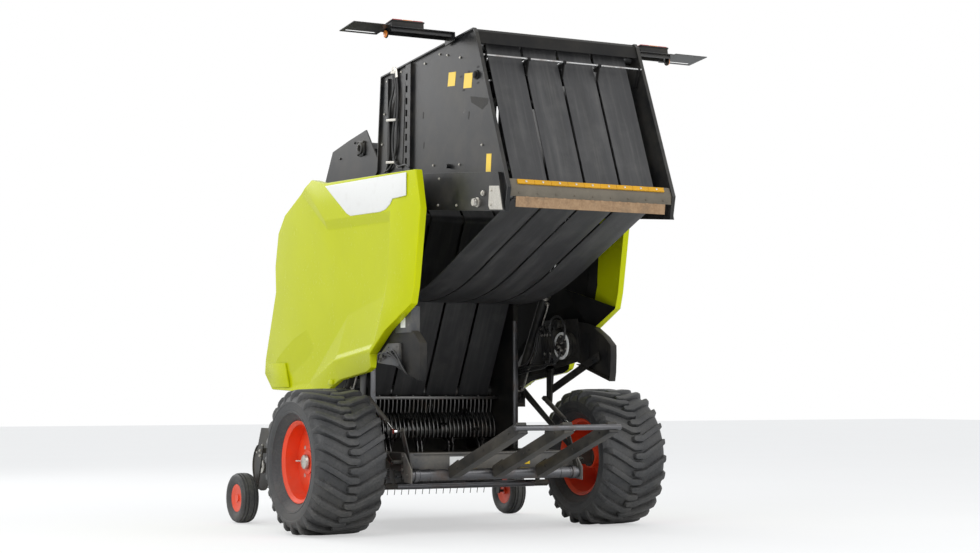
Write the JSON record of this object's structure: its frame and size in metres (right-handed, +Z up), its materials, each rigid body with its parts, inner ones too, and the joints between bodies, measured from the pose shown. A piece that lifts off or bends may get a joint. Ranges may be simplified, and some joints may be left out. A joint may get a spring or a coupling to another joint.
{
  "type": "towed round baler",
  "caption": "Towed round baler with a variable belt chamber, raised tailgate, side hoods, wide tyres, pick-up, bale ramp, drawbar and parking jack.",
  "frame": {"origin": "on the ground, midway along and across the whole machine as it stands with the tailgate up", "axes": "+X along the machine towards the towing eye, +Y to its left side, +Z up"},
  "size_m": [5.4836, 2.99, 3.6734],
  "materials": {
    "dark_paint": "semi-gloss",
    "lime_paint": "gloss",
    "orange_paint": "semi-gloss",
    "grey_paint": "matte, worn",
    "amber_paint": "matte",
    "belt_rubber": "matte, dusty",
    "tyre": "matte",
    "bare_steel": "worn bright",
    "chrome": "polished",
    "black_plastic": "matte",
    "lamp_plastic": "gloss"
  },
  "bodies": {
    "root": {"main_frame": "dark_paint", "axle_beam": "dark_paint", "side_wall_left": "dark_paint", "side_wall_right": "dark_paint", "top_frame": "dark_paint", "front_cover": "dark_paint", "drawbar": "dark_paint", "towing_eye": "dark_paint", "jack_tube": "dark_paint", "gearbox": "dark_paint", "drive_shaft": "black_plastic", "front_rollers": "bare_steel", "tension_arms": "dark_paint", "front_belts": "belt_rubber", "feed_comb": "dark_paint", "feed_floor": "dark_paint", "rear_beam": "dark_paint", "hydraulic_unit": "dark_paint", "side_boxes": "dark_paint", "mudguards": "black_plastic", "belt_span": "belt_rubber"},
    "hood_left": {"hood_left": "lime_paint"},
    "hood_right": {"hood_right": "lime_paint"},
    "gate": {"gate_sheet_left": "dark_paint", "gate_sheet_right": "dark_paint", "gate_cross": "dark_paint", "gate_lip_plate": "grey_paint", "lip_bar": "amber_paint", "gate_rollers": "bare_steel", "gate_belts": "belt_rubber", "light_boards": "dark_paint", "rear_lamps": "lamp_plastic"},
    "barrel_left": {"barrel_left": "dark_paint"},
    "barrel_right": {"barrel_right": "dark_paint"},
    "rod_left": {"rod_left": "chrome"},
    "rod_right": {"rod_right": "chrome"},
    "ramp": {"ramp": "dark_paint"},
    "strut_barrel": {"strut_barrel": "dark_paint"},
    "strut_rod": {"strut_rod": "chrome"},
    "pickup": {"pickup_frame": "dark_paint", "stripper_bands": "bare_steel", "crop_roller": "dark_paint"},
    "pickup_reel": {"pickup_reel": "bare_steel"},
    "gauge_wheel_left": {"gauge_tyre_left": "tyre", "gauge_rim_left": "orange_paint"},
    "gauge_wheel_right": {"gauge_tyre_right": "tyre", "gauge_rim_right": "orange_paint"},
    "rotor": {"rotor": "dark_paint"},
    "wheel_left": {"tyre_left": "tyre", "rim_left": "orange_paint"},
    "wheel_right": {"tyre_right": "tyre", "rim_right": "orange_paint"},
    "jack_leg": {"jack_leg": "bare_steel"}
  },
  "joints": [
    {"name": "wheel_left_spin", "type": "hinge", "parent": "root", "child": "wheel_left", "pos_m": [-0.95024, 1.215, 0.5375], "axis": [0, 1, 0], "continuous": true},
    {"name": "wheel_right_spin", "type": "hinge", "parent": "root", "child": "wheel_right", "pos_m": [-0.95024, -1.215, 0.5375], "axis": [0, 1, 0], "continuous": true},
    {"name": "gate_swing", "type": "hinge", "parent": "root", "child": "gate", "pos_m": [-0.75024, 0, 2.62], "axis": [0, 1, 0], "range_deg": [-85, 0], "deforming": ["belt_span"]},
    {"name": "hood_left_lift", "type": "hinge", "parent": "root", "child": "hood_left", "pos_m": [-0.25024, 0.8, 2.668], "axis": [1, 0, 0], "range_deg": [0, 70]},
    {"name": "hood_right_lift", "type": "hinge", "parent": "root", "child": "hood_right", "pos_m": [-0.25024, -0.8, 2.668], "axis": [1, 0, 0], "range_deg": [-70, 0]},
    {"name": "barrel_left_lean", "type": "hinge", "parent": "root", "child": "barrel_left", "pos_m": [-0.35024, 0.757, 1.02], "axis": [0, 1, 0], "range_deg": [-1, 17]},
    {"name": "rod_left_slide", "type": "slide", "parent": "barrel_left", "child": "rod_left", "axis": [-0.5161, 0, 0.8565], "range_m": [-0.56, 0.002]},
    {"name": "barrel_right_lean", "type": "hinge", "parent": "root", "child": "barrel_right", "pos_m": [-0.35024, -0.757, 1.02], "axis": [0, 1, 0], "range_deg": [-1, 17]},
    {"name": "rod_right_slide", "type": "slide", "parent": "barrel_right", "child": "rod_right", "axis": [-0.5161, 0, 0.8565], "range_m": [-0.56, 0.002]},
    {"name": "ramp_drop", "type": "hinge", "parent": "root", "child": "ramp", "pos_m": [-1.35024, 0, 0.44], "axis": [0, 1, 0], "range_deg": [-30, 0]},
    {"name": "strut_lean", "type": "hinge", "parent": "root", "child": "strut_barrel", "pos_m": [-0.78024, 0.775, 1], "axis": [0, 1, 0], "range_deg": [-1, 11]},
    {"name": "strut_slide", "type": "slide", "parent": "strut_barrel", "child": "strut_rod", "axis": [-0.8779, 0, -0.4789], "range_m": [-0.002, 0.16]},
    {"name": "pickup_lift", "type": "hinge", "parent": "root", "child": "pickup", "pos_m": [0.17976, 0, 0.7], "axis": [0, 1, 0], "range_deg": [-12, 0]},
    {"name": "reel_spin", "type": "hinge", "parent": "pickup", "child": "pickup_reel", "pos_m": [0.57976, 0, 0.45], "axis": [0, 1, 0], "continuous": true},
    {"name": "gauge_left_spin", "type": "hinge", "parent": "pickup", "child": "gauge_wheel_left", "pos_m": [0.59476, 1.235, 0.2], "axis": [0, 1, 0], "continuous": true},
    {"name": "gauge_right_spin", "type": "hinge", "parent": "pickup", "child": "gauge_wheel_right", "pos_m": [0.59476, -1.235, 0.2], "axis": [0, 1, 0], "continuous": true},
    {"name": "rotor_spin", "type": "hinge", "parent": "root", "child": "rotor", "pos_m": [-0.19024, 0, 0.745], "axis": [0, 1, 0], "continuous": true},
    {"name": "jack_raise", "type": "slide", "parent": "root", "child": "jack_leg", "axis": [0, 0, 1], "range_m": [0, 0.25]}
  ],
  "couplings": [
    {"joint": "barrel_left_lean", "follows": "gate_swing", "ratio": -0.18651},
    {"joint": "rod_left_slide", "follows": "gate_swing", "m_per_rad": 0.37334},
    {"joint": "barrel_right_lean", "follows": "gate_swing", "ratio": -0.18651},
    {"joint": "rod_right_slide", "follows": "gate_swing", "m_per_rad": 0.37334},
    {"joint": "strut_lean", "follows": "ramp_drop", "ratio": -0.30579},
    {"joint": "strut_slide", "follows": "ramp_drop", "m_per_rad": -0.29322}
  ]
}
